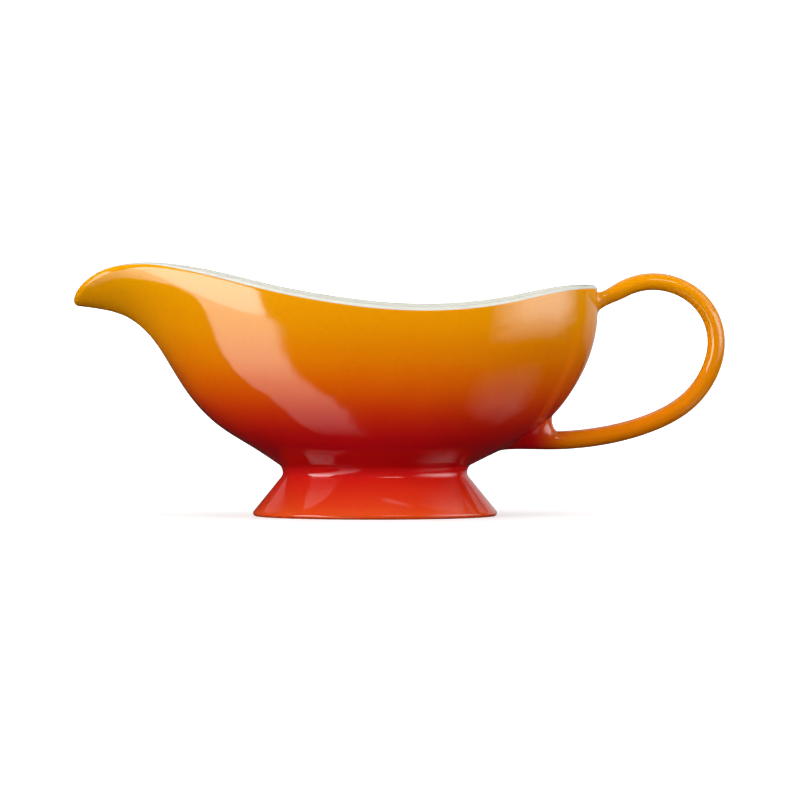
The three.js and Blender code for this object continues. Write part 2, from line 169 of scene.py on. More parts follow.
def profile_curve(shares, run, rise):
    """The profile's shares against the distance along it, scaled to run from 0 to 1."""
    way = way_along(np.array(shares) * [run, rise])
    return fair_curve(way / way[-1], shares)


TIP_RISE, REAR_RISE, SIDE_RISE = (
    RIM[-1, 2] * BODY_HEIGHT, RIM[0, 2] * BODY_HEIGHT, RIM[:, 2].min() * BODY_HEIGHT,
)
fore_profile = profile_curve(FORE, FORE_REACH - NECK_LENGTH, TIP_RISE)
side_profile = profile_curve(SIDE, HALF_BEAM - NECK_BREADTH, SIDE_RISE)
aft_profile = profile_curve(AFT, AFT_REACH - NECK_LENGTH, REAR_RISE)
print("rim", len(whole_rim), "points")

# %% [markdown]
# ## The bowl's outer surface
# A surface is a function of two parameters: the turn round the boat and the climb up the
# wall. Every line of climb runs from the oval neck to the rim along a blend of the three
# profiles. Low down the plan is a plain oval, and the spout pinches in only near the rim,
# which keeps the bow full and round. A subdivided box could be pushed into this shape, but
# a formula gives a fair surface and its exact normals.

# %% Outer surface, its directions and what is offset from it
# Half turns run from 0 at the rear to 1 at the tip of the spout.
SPOUT_FROM, SPOUT_SHARPNESS = 0.38, 1.25
REAR_TO = 0.5
OVAL_FROM, OVAL_OVER, OVAL_HOLD = 0.3, 0.4, 2.7
SMALL = 1e-4


def hull(turn, climb):
    """Neck point plus the blended share of the way to the rim point, outwards and upwards."""
    turn, climb = np.broadcast_arrays(np.asarray(turn, float) % 1.0, np.asarray(climb, float))
    half_turn = 2 * np.minimum(turn, 1 - turn)
    fore_share = smooth_step((half_turn - SPOUT_FROM) / (1 - SPOUT_FROM)) ** SPOUT_SHARPNESS
    aft_share = smooth_step(1 - half_turn / REAR_TO)
    side = side_profile(climb)
    share = (side + fore_share[..., None] * (fore_profile(climb) - side)
             + aft_share[..., None] * (aft_profile(climb) - side))
    cosine, sine = np.cos(2 * np.pi * turn), np.sin(2 * np.pi * turn)
    reach = np.where(cosine < 0, FORE_REACH, AFT_REACH)
    level = np.full_like(cosine, SEAT + (SIDE_RISE + TIP_RISE) / 2)
    oval = np.stack([CENTRE_X + cosine * reach, sine * HALF_BEAM, level], -1)
    oval_share = (1 - climb**OVAL_HOLD) * smooth_step((half_turn - OVAL_FROM) / OVAL_OVER)
    top = rim_curve(turn)
    top = top + (oval - top) * oval_share[..., None]
    neck = np.stack([
        CENTRE_X + NECK_LENGTH * cosine, NECK_BREADTH * sine, np.full_like(sine, SEAT),
    ], -1)
    mix = np.stack([share[..., 0], share[..., 0], share[..., 1]], -1)
    return neck + (top - neck) * mix


def unit(vectors):
    """Each vector divided by its length."""
    return vectors / np.linalg.norm(vectors, axis=-1, keepdims=True)


def hull_directions(turn, climb):
    """Out of the clay, up the wall, and across the rim, from small steps on the surface."""
    low, high = np.clip(climb - SMALL, 0, 1), np.clip(climb + SMALL, 0, 1)
    along = unit(hull(turn + SMALL, climb) - hull(turn - SMALL, climb))
    rise = unit(hull(turn, high) - hull(turn, low))
    out = unit(np.cross(along, rise))
    return out, rise, unit(np.cross(out, along))


def inset(turn, climb, depth):
    """The outer surface moved along its normal into the clay."""
    return hull(turn, climb) - depth * hull_directions(turn, climb)[0]


def rim_round(turn, angle, radius):
    """A circle round the middle of the wall's top, from the outer shoulder over to the inner."""
    out, _, up = hull_directions(turn, np.ones_like(turn))
    middle = hull(turn, np.ones_like(turn)) - WALL / 2 * out
    return middle + radius * (np.cos(angle) * out + np.sin(angle) * up)


def hermite(start, leave, end, arrive, share):
    """Cubic from start to end with the given directions at both."""
    s2, s3 = share**2, share**3
    return (start * (2 * s3 - 3 * s2 + 1) + leave * (s3 - 2 * s2 + share)
            + end * (3 * s2 - 2 * s3) + arrive * (s3 - s2))


# The inner wall turns into the floor at this share of the climb.
FLOOR_CLIMB = 0.24


def floor_round(turn, share, depth):
    """Cubic from the inner wall to the lowest point inside, level where it arrives."""
    climb = np.full_like(turn, FLOOR_CLIMB)
    start = inset(turn, climb, depth)
    end = np.zeros_like(start) + [CENTRE_X, 0, SEAT + FLOOR_THICKNESS - (WALL - depth)]
    reach = np.linalg.norm((end - start)[:, :2], axis=1)[:, None]
    leave = -reach * hull_directions(turn, climb)[1]
    return hermite(start, leave, end, (end - start) * [1, 1, 0], share)


# %% [markdown]
# ## From rings of points to a closed mesh
# Every piece is a stack of rings with the same number of points, joined row to row. A stack
# closes on a point at each end, or on itself like a tyre. The corners that are meant to be
# crisp, such as the seat under the bowl, are found by their angle, and all else is smooth.

# %% Ring meshes
# The lines of climb crowd together at the spout, where the wall bends most.
CROWDING = 0.2
CRISP_ANGLE = math.radians(28)
TURNS = np.arange(288) / 288
TURNS = TURNS + CROWDING * np.sin(2 * np.pi * TURNS) / (2 * np.pi)


def ring_faces(rows, width, closed):
    """Quads between each ring and the next, as whole arrays of corner numbers."""
    last = rows if closed else rows - 1
    row, i = np.meshgrid(np.arange(last), np.arange(width), indexing="ij")
    above, beside = (row + 1) % rows, (i + 1) % width
    quads = [row * width + i, row * width + beside, above * width + beside, above * width + i]
    return np.stack(quads, -1).reshape(-1, 4)


def new_object(name, mesh):
    """Object for a mesh or a camera, linked to the scene."""
    made = bpy.data.objects.new(name, mesh)
    bpy.context.scene.collection.objects.link(made)
    return made


def make_piece(name, rings, poles=None):
    """Mesh from rings in millimetres, with its faces outwards, at the origin of the frame."""
    rings = np.asarray(rings, float)
    rows, width = rings.shape[:2]
    points = rings.reshape(-1, 3)
    quads = faces = ring_faces(rows, width, poles is None)
    if poles is not None:
        points = np.vstack([points, poles])
        i = np.arange(width)
        j = (i + 1) % width
        first = np.stack([np.full(width, rows * width), j, i], -1)
        top = (rows - 1) * width
        last = np.stack([np.full(width, rows * width + 1), top + i, top + j], -1)
        fans = np.vstack([first, last])
    else:
        fans = np.zeros((0, 3), int)

    def swept(triangles):
        """Six times the volume between the triangles and the origin: a . (b x c) for each."""
        a, b, c = points[triangles].transpose(1, 0, 2)
        return np.sum(a * np.cross(b, c))

    volume = swept(quads[:, [0, 1, 2]]) + swept(quads[:, [0, 2, 3]]) + swept(fans)
    if volume < 0:
        faces, fans = quads[:, ::-1], fans[:, ::-1]
    mesh = bpy.data.meshes.new(name)
    mesh.from_pydata((points * MM).tolist(), [], faces.tolist() + fans.tolist())
    mesh.shade_smooth()
    mesh.set_sharp_from_angle(angle=CRISP_ANGLE)
    piece = new_object(name, mesh)
    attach(piece, "root")
    print(name, len(mesh.polygons), "faces", [round(v * 1000, 1) for v in piece.dimensions])
    return piece


# %% [markdown]
# ## The bowl and its liner
# The bowl is cast in plaster, 4 mm thick, with a round rim. The off-white glaze inside rolls
# over the rim and stops just outside it, where the coloured glaze begins, and at the spout
# the line between them climbs over the lip. The bowl's clay is set back under the liner, so
# the two glazes meet in one clean line.

# %% Bowl and liner
RIM_RADIUS = WALL / 2
LIP_FROM, LIP_OVER, LIP_CLIMB = 0.72, 0.26, 1.15
LINER_LAP = 0.03
climbs = np.linspace(0, 1, 90)
inner_climbs = np.linspace(1, FLOOR_CLIMB, 46)[1:]
floor_shares = np.linspace(0, 1, 26)[1:-1]


def inside(depth):
    """Rings down the inner wall and across the floor at a depth under the outer surface."""
    walls = [inset(TURNS, np.full_like(TURNS, c), depth) for c in inner_climbs]
    floors = [floor_round(TURNS, s, depth) for s in floor_shares]
    return walls + floors


def over_rim(start, radius, count=14):
    """Rings over the rim from an angle above the outer shoulder to the inner shoulder."""
    shares = np.linspace(0, 1, count)
    return [rim_round(TURNS, (start + (np.pi - start) * s)[:, None], radius) for s in shares]


def floor_middle(depth):
    """Lowest point inside at a depth under the outer surface."""
    return floor_round(np.array([0.0]), 1.0, depth)[0]


clay_depth = WALL - COAT - GAP
back_depth = WALL - COAT
half_turns = 2 * np.minimum(TURNS, 1 - TURNS)
line = GLAZE_LINE + LIP_CLIMB * smooth_step((half_turns - LIP_FROM) / LIP_OVER)
print("glaze line", line.min().round(2), "to", line.max().round(2))
outer_wall = [hull(TURNS, np.full_like(TURNS, c)) for c in climbs]
outer_edge = [
    rim_round(TURNS, (line * s)[:, None], RIM_RADIUS) for s in np.linspace(0, 1, 7)[1:]
]
bowl = make_piece(
    "bowl_cast",
    outer_wall + outer_edge + over_rim(line, clay_depth - RIM_RADIUS) + inside(clay_depth),
    [[CENTRE_X, 0, SEAT], floor_middle(clay_depth)],
)
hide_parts("bowl")
liner_back = over_rim(line + LINER_LAP, back_depth - RIM_RADIUS) + inside(back_depth)
liner_front = over_rim(line + LINER_LAP, RIM_RADIUS) + inside(WALL)
liner = make_piece(
    "bowl_liner_coat",
    liner_back[::-1] + liner_front,
    [floor_middle(back_depth), floor_middle(WALL)],
)
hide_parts("bowl_liner")

# %% [markdown]
# ## The foot and the band of slip above it
# The foot is a hollow oval skirt with a straight lean. Its lower edge is sponged round, and
# the ring that stands on the kiln shelf is wiped clean of glaze. The band of slip between
# foot and bowl is drawn as a cubic that leaves along the skirt and arrives along the bowl.

# %% Foot and neck joint
LEAN = math.atan2(FOOT_TOP, FOOT_FLARE)
WALL_LEVEL = FOOT_WALL / math.sin(LEAN)
cosines, sines = np.cos(2 * np.pi * TURNS), np.sin(2 * np.pi * TURNS)


def foot_ring(growth, height):
    """Oval of the top of the foot grown outwards, at a height."""
    return np.stack([
        CENTRE_X + (NECK_LENGTH - THROAT + growth) * cosines,
        (NECK_BREADTH - THROAT + growth) * sines,
        np.full_like(sines, height),
    ], -1)


def skirt(height):
    """How far the straight skirt stands out at a height."""
    return FOOT_FLARE * (1 - height / FOOT_TOP)


SKIRT_ENDS = 2.4
INSIDE_FROM = 1.4
STANDING_ROWS = 3
edge_middle = FOOT_FLARE - FOOT_EDGE / math.tan(LEAN / 2)
edge_angles = np.linspace(math.pi / 2 - LEAN, -math.pi / 2, 14)
foot_rings = [foot_ring(skirt(h), h) for h in np.linspace(FOOT_TOP, SKIRT_ENDS, 24)]
foot_rings += [
    foot_ring(edge_middle + FOOT_EDGE * math.cos(a), FOOT_EDGE + FOOT_EDGE * math.sin(a))
    for a in edge_angles
]
bare_from = len(foot_rings) - STANDING_ROWS
# The inner corner of the standing ring as (height, distance outside the inner face). It steps
# outwards as it rises, so it is a slight undercut and not a round.
inner_corner = [(0.0, 0.1), (0.12, 0.5), (0.4, 0.68), (0.75, 0.8)]
foot_rings += [foot_ring(skirt(0) - WALL_LEVEL + out, up) for up, out in inner_corner]
bare_to = len(foot_rings) - STANDING_ROWS
inside_heights = np.linspace(INSIDE_FROM, FOOT_TOP, 14)
foot_rings += [foot_ring(skirt(h) - WALL_LEVEL, h) for h in inside_heights]
foot = make_piece("foot_cast", foot_rings)
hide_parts("foot")

skirt_lean = foot_ring(-NECK_HEIGHT / math.tan(LEAN), SEAT) - foot_ring(0, FOOT_TOP)
neck_start, neck_end = foot_ring(0, FOOT_TOP), hull(TURNS, np.zeros_like(TURNS))
neck_rise = hull_directions(TURNS, np.zeros_like(TURNS))[1]
neck_rings = [
    hermite(neck_start, unit(skirt_lean) * NECK_HEIGHT, neck_end, neck_rise * NECK_HEIGHT, s)
    for s in np.linspace(0, 1, 22)
]
inner_neck = [
    (WALL_LEVEL + FOOT_WALL / 2 - THROAT, 1.0), (WALL_LEVEL + FOOT_WALL / 4, 0.6),
    (WALL_LEVEL, 0.0),
]
neck_rings += [foot_ring(-inward, FOOT_TOP + up * NECK_HEIGHT) for inward, up in inner_neck]
neck = make_piece("neck_slip_band", neck_rings)
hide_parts("neck_slip_joint")

# %% [markdown]
# ## The handle
# A rod of clay, a little oval, is bent into a loop on a former. The line of the loop is one
# fair curve, and the rod is a ring carried along it.

# %% Line of the handle
HANDLE_UPPER = [[0.061, 0.842], [0.229, 0.898], [0.423, 0.93], [0.608, 0.92], [0.798, 0.865],
                [0.945, 0.761], [1, 0.635]]
HANDLE_LOWER = [[0.965, 0.471], [0.853, 0.321], [0.683, 0.221], [0.461, 0.155],
                [0.234, 0.126]]
UPPER_ROOT, LOWER_ROOT = 0.825, 0.124
HANDLE_REACH = 47.5
ROD_RADIUS, ROD_RATIO, ROD_SWELL = 3.5, 1.14, 0.05


def stern_x(share):
    """X of the rear wall in the middle plane at a share of the body height."""
    line = hull(np.zeros(4001), np.linspace(0, 1, 4001))
    return float(np.interp(SEAT + share * BODY_HEIGHT, line[:, 2], line[:, 0]))


far_x = CENTRE_X + AFT_REACH + HANDLE_REACH
upper_x, lower_x = stern_x(UPPER_ROOT), stern_x(LOWER_ROOT)
loop = [[upper_x, UPPER_ROOT]]
loop += [[upper_x + (far_x - upper_x) * out, up] for out, up in HANDLE_UPPER]
loop += [[lower_x + (far_x - lower_x) * out, up] for out, up in HANDLE_LOWER]
loop += [[lower_x, LOWER_ROOT]]
loop = np.array(loop) * [1, BODY_HEIGHT] + [0, SEAT]
loop_way = way_along(loop)
loop_curve = fair_curve(loop_way, loop)
# The rod stops short of the wall at both ends, where the slip of the roots takes over.
UPPER_SLIP, LOWER_SLIP = 10.5, 15.5
ROD_FROM, ROD_TO = UPPER_SLIP, loop_way[-1] - LOWER_SLIP
AROUND = np.arange(112) / 112 * 2 * np.pi


def rod_frame(distance):
    """Place on the loop's line, the way ahead and the way out of the loop, in the XZ plane."""
    here = loop_curve(distance)
    ahead = unit(loop_curve(distance + 0.01) - loop_curve(distance - 0.01))
    place = np.stack([here[..., 0], np.zeros_like(distance), here[..., 1]], -1)
    forward = np.stack([ahead[..., 0], np.zeros_like(distance), ahead[..., 1]], -1)
    outside = np.stack([-ahead[..., 1], np.zeros_like(distance), ahead[..., 0]], -1)
    return place, forward, outside


def rod_rings(distance):
    """An oval carried along the loop: out of the loop by cosine, across it by sine."""
    place, _, outside = rod_frame(distance)
    radius = ROD_RADIUS * (1 + ROD_SWELL * np.sin(np.pi * (distance / loop_way[-1]) - 1))
    radius = radius[:, None, None]
    across = np.array([0, 1, 0])
    return (place[:, None] + outside[:, None] * radius * np.cos(AROUND)[None, :, None]
            + across * radius * ROD_RATIO * np.sin(AROUND)[None, :, None])


rings = rod_rings(np.linspace(ROD_FROM, ROD_TO, 320))
rod = make_piece("handle_rod", rings, [rings[0].mean(0), rings[-1].mean(0)])
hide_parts("handle")
print("rod from", rings.min((0, 1)).round(1), "to", rings.max((0, 1)).round(1))
print("measured", rod_low.round(1), "to", rod_high.round(1))


# %% [markdown]
# ## The handle's roots
# At both roots the slip is drawn out with a wet brush: a ring of cubics leaves the end of the
# rod and lands flat on the wall. The places on the wall are found by walking over the surface,
# because its formula gives a point for a turn and a climb, and not the other way round.

# %% Roots of the handle
SEARCH_STEPS, SEARCH_SHARE = 30, 0.7
LOWEST_CLIMB, HIGHEST_CLIMB = 0.02, 0.995


def on_wall(y, z, turn, climb):
    """Turn and climb where the outer surface has this Y and Z, by repeated straight steps."""
    turn, climb = np.full_like(y, turn), np.full_like(y, climb)
    for _ in range(SEARCH_STEPS):
        here = hull(turn, climb)
        by_turn = (hull(turn + SMALL, climb) - hull(turn - SMALL, climb)) / (2 * SMALL)
        by_climb = (hull(turn, climb + SMALL) - hull(turn, climb - SMALL)) / (2 * SMALL)
        miss_y, miss_z = y - here[:, 1], z - here[:, 2]
        size = by_turn[:, 1] * by_climb[:, 2] - by_turn[:, 2] * by_climb[:, 1]
        turn_step = (miss_y * by_climb[:, 2] - miss_z * by_climb[:, 1]) / size
        climb_step = (by_turn[:, 1] * miss_z - by_turn[:, 2] * miss_y) / size
        turn = turn + SEARCH_SHARE * turn_step
        climb = np.clip(climb + SEARCH_SHARE * climb_step, LOWEST_CLIMB, HIGHEST_CLIMB)
    return turn, climb


# The slip's edge stands this far off the wall, and its back is sunk and tucked into the clay.
ROOT_PROUD, ROOT_SUNK, ROOT_TUCK = 0.02, 1.2, 1.5


def root_piece(name, distance, toward, middle, half_height, half_breadth, climb, pull):
    """Cubics from the rod's end ring to an oval on the wall, flat on the wall where they land.

    The wall lies ahead of the rod's way (toward 1) or behind it (-1). The oval's middle is a
    height, climb is where the search starts, and pull says how hard the cubics leave and land.
    """
    _, forward, outside = rod_frame(np.array([distance]))
    start = rod_rings(np.array([distance]))[0]
    upward = np.sign(outside[0, 2])
    y = half_breadth * np.sin(AROUND)
    z = middle + upward * half_height * np.cos(AROUND)
    turn, up = on_wall(y, z, 0.0, climb)
    out, _, _ = hull_directions(turn, up)
    end = hull(turn, up) + ROOT_PROUD * out
    leave = np.zeros_like(start) + toward * forward[0]
    spread = end - end.mean(0)
    spread = unit(spread - out * np.sum(spread * out, axis=1, keepdims=True))
    reach = np.linalg.norm(end - start, axis=1)[:, None]
    rows = [hermite(start, leave * reach * pull[0], end, spread * reach * pull[1], s)
            for s in np.linspace(0, 1, 40)]
    rows += [end - out * ROOT_SUNK / 2, end - out * ROOT_SUNK - spread * ROOT_TUCK]
    return make_piece(name, rows, [rows[0].mean(0), rows[-1].mean(0)])


upper_root = root_piece(
    "handle_root_upper", ROD_FROM, toward=-1, middle=86.0, half_height=5.2, half_breadth=6.4,
    climb=0.93, pull=(0.9, 0.7),
)
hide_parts("handle_upper_slip_joint")
lower_root = root_piece(
    "handle_root_lower", ROD_TO, toward=1, middle=33.0, half_height=7.2, half_breadth=7.6,
    climb=0.35, pull=(1.1, 0.45),
)
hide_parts("handle_lower_slip_joint")

# %% [markdown]
# ## The finishes
# The real finish is a feldspar glaze over stoneware, fired until it melts to glass: very
# smooth, with a faint unevenness like the skin of an orange, and colour that pools a little
# in the hollows and thins on edges. The coloured glaze is sprayed, so the red fades into the
# orange with a soft cloudy edge. Colours are kept as hex numbers and turned to linear light.

# %% Colour and node helpers
def linear(hex_colour):
    """sRGB hex to linear light: the 2.4 power above the toe, a straight line below it."""
    parts = np.array([int(hex_colour[i:i + 2], 16) / 255 for i in (1, 3, 5)])
    light = np.where(parts <= 0.04045, parts / 12.92, ((parts + 0.055) / 1.055) ** 2.4)
    return (*[float(v) for v in light], 1.0)


def node(tree, kind, settings=None, **links):
    """Adds a node, sets its properties or numbered inputs, and links the named inputs."""
    made = tree.nodes.new(kind)
    for key, value in (settings or {}).items():
        if isinstance(key, int):
            made.inputs[key].default_value = value
        elif key in made.inputs:
            made.inputs[key].default_value = value
        else:
            setattr(made, key, value)
    for key, source in links.items():
        target = int(key[1:]) if key[0] == "i" and key[1:].isdigit() else key.replace("_", " ")
        tree.links.new(source, made.inputs[target])
    return made


def fade(tree, value, stops):
    """Colour ramp through stops of (share, hex colour)."""
    ramp = node(tree, "ShaderNodeValToRGB", None, Fac=value)
    ramp.color_ramp.interpolation = "B_SPLINE"
    elements = ramp.color_ramp.elements
    while len(elements) < len(stops):
        elements.new(0.5)
    for element, (share, colour) in zip(elements, stops):
        element.position = share
        element.color = linear(colour)
    return ramp.outputs["Color"]


def new_material(name):
    """Empty material with its Principled shader."""
    material = bpy.data.materials.new(name)
    material.use_nodes = True
    return material, material.node_tree, material.node_tree.nodes["Principled BSDF"]


def light_material(name):
    """Material with an empty tree, for a surface that only gives light."""
    material = bpy.data.materials.new(name)
    material.use_nodes = True
    material.node_tree.nodes.clear()
    return material, material.node_tree


# Spacings of the patterns in millimetres, and the height in metres where the fade ends.
SKIN_MM, DRIFT_MM, CLOUD_MM, PATCH_MM, GRAIN_MM = 9.0, 30.0, 14.0, 22.0, 0.5
GLAZE_TOP = 0.104
GLAZE_IOR = 1.5


def glaze_skin(tree, shader, roughness, ripple=0.25):
    """Orange-skin ripple as a fine bump, and a roughness that drifts a little."""
    place = node(tree, "ShaderNodeTexCoord").outputs["Object"]
    if ripple:
        skin = node(tree, "ShaderNodeTexNoise", {"Scale": 1000 / SKIN_MM, "Detail": 1.5},
                    Vector=place)
        bump = node(tree, "ShaderNodeBump", {"Strength": ripple, "Distance": 0.0003},
                    Height=skin.outputs["Fac"])
        tree.links.new(bump.outputs["Normal"], shader.inputs["Normal"])
    drift = node(tree, "ShaderNodeTexNoise", {"Scale": 1000 / DRIFT_MM, "Detail": 3.0},
                 Vector=place)
    rough = node(tree, "ShaderNodeMapRange",
                 {"To Min": roughness * 0.8, "To Max": roughness * 1.25},
                 Value=drift.outputs["Fac"])
    tree.links.new(rough.outputs["Result"], shader.inputs["Roughness"])
    return place


# %% [markdown]
# ## The coloured glaze
# The bowl, foot and neck fade with height from red to orange. The handle was sprayed apart,
# so it is orange all along and meets the red only round its lower root. Its rod and roots have
# a coarser and weaker mottle than the bowl, and no ripple.

# %% Coloured glaze
BODY_STOPS = [
    (0.0, "#e2501a"), (0.05, "#dc3a18"), (0.15, "#cc1612"), (0.22, "#b4030f"),
    (0.31, "#b80410"), (0.40, "#c62606"), (0.49, "#d85202"), (0.60, "#e07400"),
    (0.74, "#e89000"), (1.0, "#f0a600"),
]
HANDLE_STOPS = [(0.0, "#d86000"), (0.3, "#de7800"), (0.6, "#e48600"), (1.0, "#ec9a00")]
ROOT_FADE_FROM, ROOT_FADE_TO = 0.052, 0.072
CLOUD_DEPTH = 0.0018


def sprayed_height(tree, place):
    """Height over the foot as a share, with a cloudy edge a few millimetres deep."""
    apart = node(tree, "ShaderNodeSeparateXYZ", None, Vector=place)
    cloud = node(tree, "ShaderNodeTexNoise", {"Scale": 1000 / CLOUD_MM, "Detail": 5.0},
                 Vector=place)
    shift = node(tree, "ShaderNodeMapRange", {"To Min": -CLOUD_DEPTH, "To Max": CLOUD_DEPTH},
                 Value=cloud.outputs["Fac"])
    height = node(tree, "ShaderNodeMath", {"operation": "ADD"}, i0=apart.outputs["Z"],
                  i1=shift.outputs["Result"])
    share = node(tree, "ShaderNodeMath", {"operation": "DIVIDE", 1: GLAZE_TOP},
                 i0=height.outputs[0])
    return apart, share.outputs[0]


def coloured_glaze(name, on_handle):
    """Sprayed glaze, red below and orange above; the handle turns orange past its lower root."""
    material, tree, shader = new_material(name)
    place = glaze_skin(tree, shader, 0.07, 0 if on_handle else 0.25)
    apart, share = sprayed_height(tree, place)
    colour = fade(tree, share, BODY_STOPS)
    if on_handle:
        past_root = node(tree, "ShaderNodeMapRange",
                         {"interpolation_type": "SMOOTHSTEP", "From Min": ROOT_FADE_FROM,
                          "From Max": ROOT_FADE_TO},
                         Value=apart.outputs["X"])
        mix = node(tree, "ShaderNodeMix", {"data_type": "RGBA"},
                   i0=past_root.outputs["Result"], i6=colour,
                   i7=fade(tree, share, HANDLE_STOPS))
        colour = mix.outputs[2]
    speck_mm, swing = (8.0, 0.03) if on_handle else (1.6, 0.05)
    speck = node(tree, "ShaderNodeTexNoise", {"Scale": 1000 / speck_mm, "Detail": 3.0},
                 Vector=place)
    tone = node(tree, "ShaderNodeMapRange", {"To Min": 1 - swing, "To Max": 1 + swing},
                Value=speck.outputs["Fac"])
    shade = node(tree, "ShaderNodeHueSaturation", None, Color=colour,
                 Value=tone.outputs["Result"])
    tree.links.new(shade.outputs["Color"], shader.inputs["Base Color"])
    shader.inputs["IOR"].default_value = GLAZE_IOR
    return material


def liner_glaze():
    """Off-white glaze: faint warm and cool patches under the same glassy skin."""
    material, tree, shader = new_material("glazed stoneware, off-white")
    place = glaze_skin(tree, shader, 0.09)
    patch = node(tree, "ShaderNodeTexNoise", {"Scale": 1000 / PATCH_MM, "Detail": 4.0},
                 Vector=place)
    colour = fade(tree, patch.outputs["Fac"], [(0.3, "#d6d6cb"), (0.7, "#dcdbd1")])
    tree.links.new(colour, shader.inputs["Base Color"])
    shader.inputs["IOR"].default_value = GLAZE_IOR
    return material


def bare_clay():
    """Fired stoneware without glaze: sandy grain of half a millimetre, quite rough."""
    material, tree, shader = new_material("bare stoneware")
    place = node(tree, "ShaderNodeTexCoord").outputs["Object"]
    grain = node(tree, "ShaderNodeTexNoise", {"Scale": 1000 / GRAIN_MM, "Detail": 4.0},
                 Vector=place)
    colour = fade(tree, grain.outputs["Fac"], [(0.3, "#b9a78c"), (0.7, "#d8cab2")])
    bump = node(tree, "ShaderNodeBump", {"Strength": 0.5, "Distance": 0.0002},
                Height=grain.outputs["Fac"])
    tree.links.new(colour, shader.inputs["Base Color"])
    tree.links.new(bump.outputs["Normal"], shader.inputs["Normal"])
    shader.inputs["Roughness"].default_value = 0.8
    return material


body_glaze = coloured_glaze("glazed stoneware, red to orange", False)
handle_glaze = coloured_glaze("glazed stoneware, orange handle", True)
cream = liner_glaze()
clay = bare_clay()
for piece, material, record_slot in [
    (bowl, body_glaze, "outer_glaze"), (foot, body_glaze, "outer_glaze"),
    (neck, body_glaze, "outer_glaze"), (rod, handle_glaze, "outer_glaze"),
    (upper_root, handle_glaze, "outer_glaze"), (lower_root, handle_glaze, "outer_glaze"),
    (liner, cream, "liner_glaze"),
]:
    piece.data.materials.append(material)

foot.data.materials.append(clay)
rows = np.arange(len(foot_rings)).repeat(len(TURNS))
standing = ((rows >= bare_from) & (rows < bare_to)).astype(np.int32)
foot.data.polygons.foreach_set("material_index", standing)
print("bare faces", int(standing.sum()))

# %% [markdown]
# ## The studio
# The boat stands on a white table inside a white surround that only the camera sees. Bent
# sheets of light stand round it, because the glaze shows each one as a soft-edged bright
# shape. Some of them are seen by the glaze alone, and the fills and the panel overhead light
# the colour without showing in the gloss.

# %% Camera
CAMERA_BACK, CAMERA_HEIGHT, AIM_HEIGHT = 2.7, 0.125, 0.0464
FILM_WIDTH, SEEN_WIDTH = 36, 0.32
camera = new_object("camera", bpy.data.cameras.new("camera"))
bpy.context.scene.camera = camera
camera.location = (0, -CAMERA_BACK, CAMERA_HEIGHT)
sight = Vector((0, 0, AIM_HEIGHT)) - camera.location
camera.rotation_euler = sight.to_track_quat("-Z", "Y").to_euler()
camera.data.lens = FILM_WIDTH * CAMERA_BACK / SEEN_WIDTH
bpy.context.scene.view_settings.view_transform = "Standard"


# %% Panels and bent sheets of light
def glow(name, strength, soft_x, soft_y):
    """White light that falls off over a share of the panel's half width and half height."""
    material, tree = light_material(name)
    place = node(tree, "ShaderNodeTexCoord").outputs["UV"]
    apart = node(tree, "ShaderNodeSeparateXYZ", None, Vector=place)
    shares = []
    for axis, soft in (("X", soft_x), ("Y", soft_y)):
        off = node(tree, "ShaderNodeMath", {"operation": "SUBTRACT", 1: 0.5},
                   i0=apart.outputs[axis])
        far = node(tree, "ShaderNodeMath", {"operation": "ABSOLUTE"}, i0=off.outputs[0])
        shares.append(node(tree, "ShaderNodeMapRange",
                           {"interpolation_type": "SMOOTHSTEP", "From Min": 0.5,
                            "From Max": 0.5 - soft / 2},
                           Value=far.outputs[0]).outputs["Result"])
    both = node(tree, "ShaderNodeMath", {"operation": "MULTIPLY"}, i0=shares[0], i1=shares[1])
    power = node(tree, "ShaderNodeMath", {"operation": "MULTIPLY", 1: strength},
                 i0=both.outputs[0])
    light = node(tree, "ShaderNodeEmission", None, Strength=power.outputs[0])
    node(tree, "ShaderNodeOutputMaterial", None, Surface=light.outputs[0])
    return material


def panel(name, corners, material):
    """Four corners, in order, as one face with its own UV square."""
    mesh = bpy.data.meshes.new(name)
    mesh.from_pydata(corners, [], [(0, 1, 2, 3)])
    uv = mesh.uv_layers.new(name="UVMap")
    uv.data.foreach_set("uv", np.array([0, 0, 1, 0, 1, 1, 0, 1], float))
    mesh.materials.append(material)
    made = new_object(name, mesh)
    made.visible_camera = False
    return made


def grid_faces(rows, columns):
    """Quads of an open sheet of points, row by row."""
    corner = (np.arange(rows - 1)[:, None] * columns + np.arange(columns - 1)).ravel()
    return np.stack([corner, corner + 1, corner + columns + 1, corner + columns], -1).tolist()


SHEET_CENTRE = [0, 0, 0.06]


def light_sheet(name, rows, soft=0.05, distance=1.6):
    """Rows of (height angle, left bearing, right bearing, light), dark at both ends of each row.

    The points stand round the boat at the given distance, and the light is kept on them.
    """
    angle, left, right, light = np.array(rows, float).T[:, :, None]
    across = np.array([0, soft, 0.5, 1 - soft, 1])
    bearing = np.radians(left + (right - left) * across)
    angle = np.radians(angle + 0 * across)
    away = np.stack([np.sin(bearing) * np.cos(angle), -np.cos(bearing) * np.cos(angle),
                     np.sin(angle)], -1)
    points = distance * away + SHEET_CENTRE
    strengths = light * np.array([0, 1, 1, 1, 0])
    mesh = bpy.data.meshes.new(name)
    mesh.from_pydata(points.reshape(-1, 3).tolist(), [], grid_faces(len(rows), len(across)))
    mesh.attributes.new("light", "FLOAT", "POINT").data.foreach_set("value", strengths.ravel())
    mesh.materials.append(sheet_material)
    made = new_object(name, mesh)
    made.visible_camera = False
    return made


